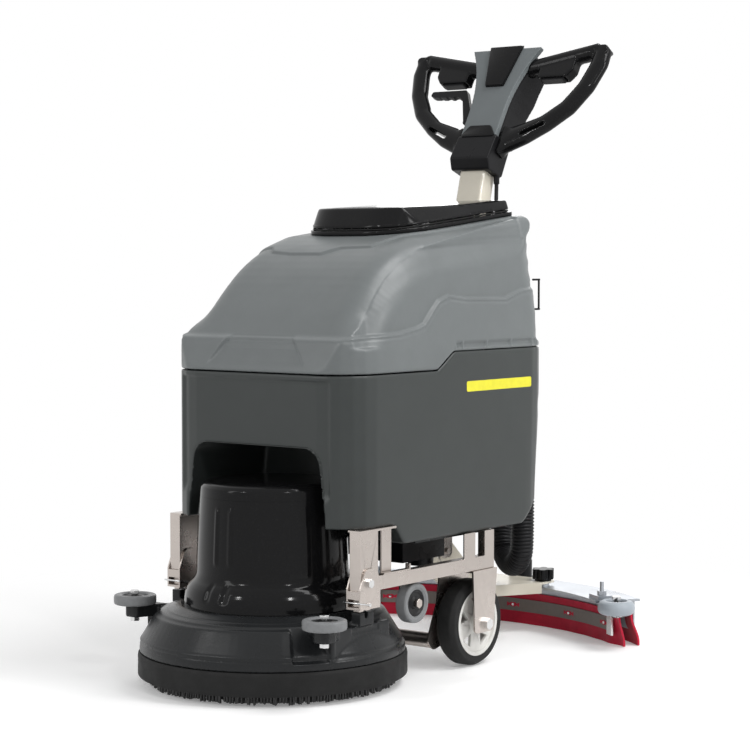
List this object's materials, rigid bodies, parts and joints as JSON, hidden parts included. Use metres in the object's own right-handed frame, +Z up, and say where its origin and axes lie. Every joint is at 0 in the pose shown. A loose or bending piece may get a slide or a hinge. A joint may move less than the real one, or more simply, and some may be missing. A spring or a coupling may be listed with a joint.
{
  "type": "wet dry floor scrubber",
  "caption": "Walk-behind battery floor scrubber with a round brush deck, two moulded tanks, a mast with loop handles and a rear squeegee.",
  "frame": {"origin": "on the floor, under the centre of the round brush", "axes": "+Z up, -Y the machine's forward direction, +X the machine's left as its user stands behind it"},
  "size_m": [0.717, 1.06, 1.1848],
  "materials": {
    "grey_shell": "satin moulded",
    "dark_shell": "satin moulded",
    "black_gloss": "gloss",
    "black_matte": "satin",
    "grey_plastic": "satin",
    "light_plastic": "satin",
    "frame_steel": "satin stainless",
    "bright_steel": "satin stainless",
    "cream_paint": "satin paint",
    "battery_case": "satin",
    "motor": "satin",
    "deck_casting": "satin powder coat",
    "black_rubber": "matt",
    "grey_rubber": "matt",
    "red_rubber": "satin",
    "blue_grey": "satin",
    "rim_plastic": "satin",
    "tyre": "matt",
    "hose": "satin",
    "bristle": "matt"
  },
  "bodies": {
    "chassis": {"solution_tank": "dark_shell", "frame_posts": "frame_steel", "post_hangers": "frame_steel", "frame_fasteners": "bright_steel", "side_rails": "frame_steel", "wheel_forks": "frame_steel", "frame_plate": "frame_steel", "batteries": "battery_case", "vacuum_motor": "motor", "mast": "cream_paint", "clamp_block": "black_matte", "head_shell": "black_matte", "fascia": "grey_plastic", "handlebar": "black_matte", "control_cable": "hose", "vacuum_hose": "hose", "rear_fittings": "black_matte", "water_valve": "black_matte", "squeegee_bracket": "frame_steel", "deck_springs": "bright_steel"},
    "recovery_tank": {"recovery_tank": "grey_shell", "lid_seat": "black_gloss", "inlet_duct": "grey_plastic", "float_cage": "light_plastic", "hose_hook": "black_matte"},
    "tank_lid": {"tank_lid": "black_gloss", "lid_gasket": "black_rubber"},
    "deck": {"brush_deck": "deck_casting", "splash_skirt": "black_rubber", "motor_cover": "black_gloss", "motor_cap": "black_gloss", "brush_motor": "motor", "guide_blades": "frame_steel", "bumper_bolts": "bright_steel"},
    "brush": {"brush_hub": "motor", "brush_disc": "black_matte", "bristles": "bristle"},
    "bumper_wheel_left": {"bumper_wheel_left": "grey_rubber"},
    "bumper_wheel_right": {"bumper_wheel_right": "grey_rubber"},
    "rear_wheel_left": {"rear_tyre_left": "tyre", "rear_rim_left": "rim_plastic"},
    "rear_wheel_right": {"rear_tyre_right": "tyre", "rear_rim_right": "rim_plastic"},
    "roller_left": {"roller_left": "grey_plastic"},
    "roller_right": {"roller_right": "grey_plastic"},
    "squeegee": {"squeegee_arm": "cream_paint", "squeegee_plate": "bright_steel", "blade_straps": "bright_steel", "front_blade": "red_rubber", "rear_blade": "red_rubber", "suction_nozzle": "black_matte", "end_brackets": "bright_steel"},
    "squeegee_knob_left": {"squeegee_knob_left": "black_matte"},
    "squeegee_knob_right": {"squeegee_knob_right": "black_matte"},
    "end_wheel_left": {"end_wheel_left": "blue_grey"},
    "end_wheel_right": {"end_wheel_right": "blue_grey"},
    "lift_lever": {"lift_lever": "black_matte"},
    "trigger_left": {"trigger_left": "black_matte"},
    "trigger_right": {"trigger_right": "black_matte"},
    "key_switch": {"key_switch": "bright_steel"}
  },
  "joints": [
    {"name": "deck_lift", "type": "slide", "parent": "chassis", "child": "deck", "axis": [0, 0, 1], "range_m": [0, 0.02], "stiffness_N_per_m": 5000, "springref_m": -0.02, "deforming": ["deck_springs"]},
    {"name": "brush_spin", "type": "hinge", "parent": "deck", "child": "brush", "pos_m": [0, 0, 0.12], "axis": [0, 0, 1], "continuous": true},
    {"name": "bumper_wheel_left_spin", "type": "hinge", "parent": "deck", "child": "bumper_wheel_left", "pos_m": [0.22, -0.124, 0.141], "axis": [0, 0, 1], "continuous": true},
    {"name": "rear_wheel_left_spin", "type": "hinge", "parent": "chassis", "child": "rear_wheel_left", "pos_m": [0.191, 0.342, 0.08], "axis": [1, 0, 0], "continuous": true},
    {"name": "roller_left_spin", "type": "hinge", "parent": "chassis", "child": "roller_left", "pos_m": [0.2055, 0.139, 0.143], "axis": [1, 0, 0], "continuous": true},
    {"name": "bumper_wheel_right_spin", "type": "hinge", "parent": "deck", "child": "bumper_wheel_right", "pos_m": [-0.22, -0.124, 0.141], "axis": [0, 0, 1], "continuous": true},
    {"name": "rear_wheel_right_spin", "type": "hinge", "parent": "chassis", "child": "rear_wheel_right", "pos_m": [-0.191, 0.342, 0.08], "axis": [1, 0, 0], "continuous": true},
    {"name": "roller_right_spin", "type": "hinge", "parent": "chassis", "child": "roller_right", "pos_m": [-0.2055, 0.139, 0.143], "axis": [1, 0, 0], "continuous": true},
    {"name": "squeegee_lift", "type": "hinge", "parent": "chassis", "child": "squeegee", "pos_m": [0, 0.47, 0.186], "axis": [1, 0, 0], "range_deg": [0, 9], "deforming": ["vacuum_hose"]},
    {"name": "squeegee_knob_left_turn", "type": "hinge", "parent": "squeegee", "child": "squeegee_knob_left", "pos_m": [0.091, 0.735, 0.112], "axis": [0, 0, 1], "continuous": true},
    {"name": "end_wheel_left_spin", "type": "hinge", "parent": "squeegee", "child": "end_wheel_left", "pos_m": [0.32248, 0.63922, 0.081], "axis": [0, 0, 1], "continuous": true},
    {"name": "squeegee_knob_right_turn", "type": "hinge", "parent": "squeegee", "child": "squeegee_knob_right", "pos_m": [-0.091, 0.735, 0.112], "axis": [0, 0, 1], "continuous": true},
    {"name": "end_wheel_right_spin", "type": "hinge", "parent": "squeegee", "child": "end_wheel_right", "pos_m": [-0.32248, 0.63922, 0.081], "axis": [0, 0, 1], "continuous": true},
    {"name": "lift_lever_pull", "type": "hinge", "parent": "chassis", "child": "lift_lever", "pos_m": [-0.056, 0.67512, 1.02777], "axis": [0, 0.866, -0.5], "range_deg": [0, 5]},
    {"name": "tank_lift_off", "type": "slide", "parent": "chassis", "child": "recovery_tank", "axis": [0, 0, 1], "range_m": [0, 0.12]},
    {"name": "lid_hinge", "type": "hinge", "parent": "recovery_tank", "child": "tank_lid", "pos_m": [0, 0.54498, 0.86048], "axis": [-1, 0, 0], "range_deg": [0, 80]},
    {"name": "trigger_left_squeeze", "type": "hinge", "parent": "chassis", "child": "trigger_left", "pos_m": [0.118, 0.72512, 1.11437], "axis": [0, -0.866, 0.5], "range_deg": [0, 4], "stiffness_Nm_per_rad": 2, "springref_deg": -5.73},
    {"name": "trigger_right_squeeze", "type": "hinge", "parent": "chassis", "child": "trigger_right", "pos_m": [-0.118, 0.72512, 1.11437], "axis": [0, 0.866, -0.5], "range_deg": [0, 4], "stiffness_Nm_per_rad": 2, "springref_deg": -5.73},
    {"name": "key_turn", "type": "hinge", "parent": "chassis", "child": "key_switch", "pos_m": [0, 0.73957, 1.07139], "axis": [0, 0.866, -0.5], "range_deg": [0, 60]}
  ],
  "couplings": [
    {"joint": "squeegee_lift", "follows": "lift_lever_pull", "ratio": 1.8}
  ]
}
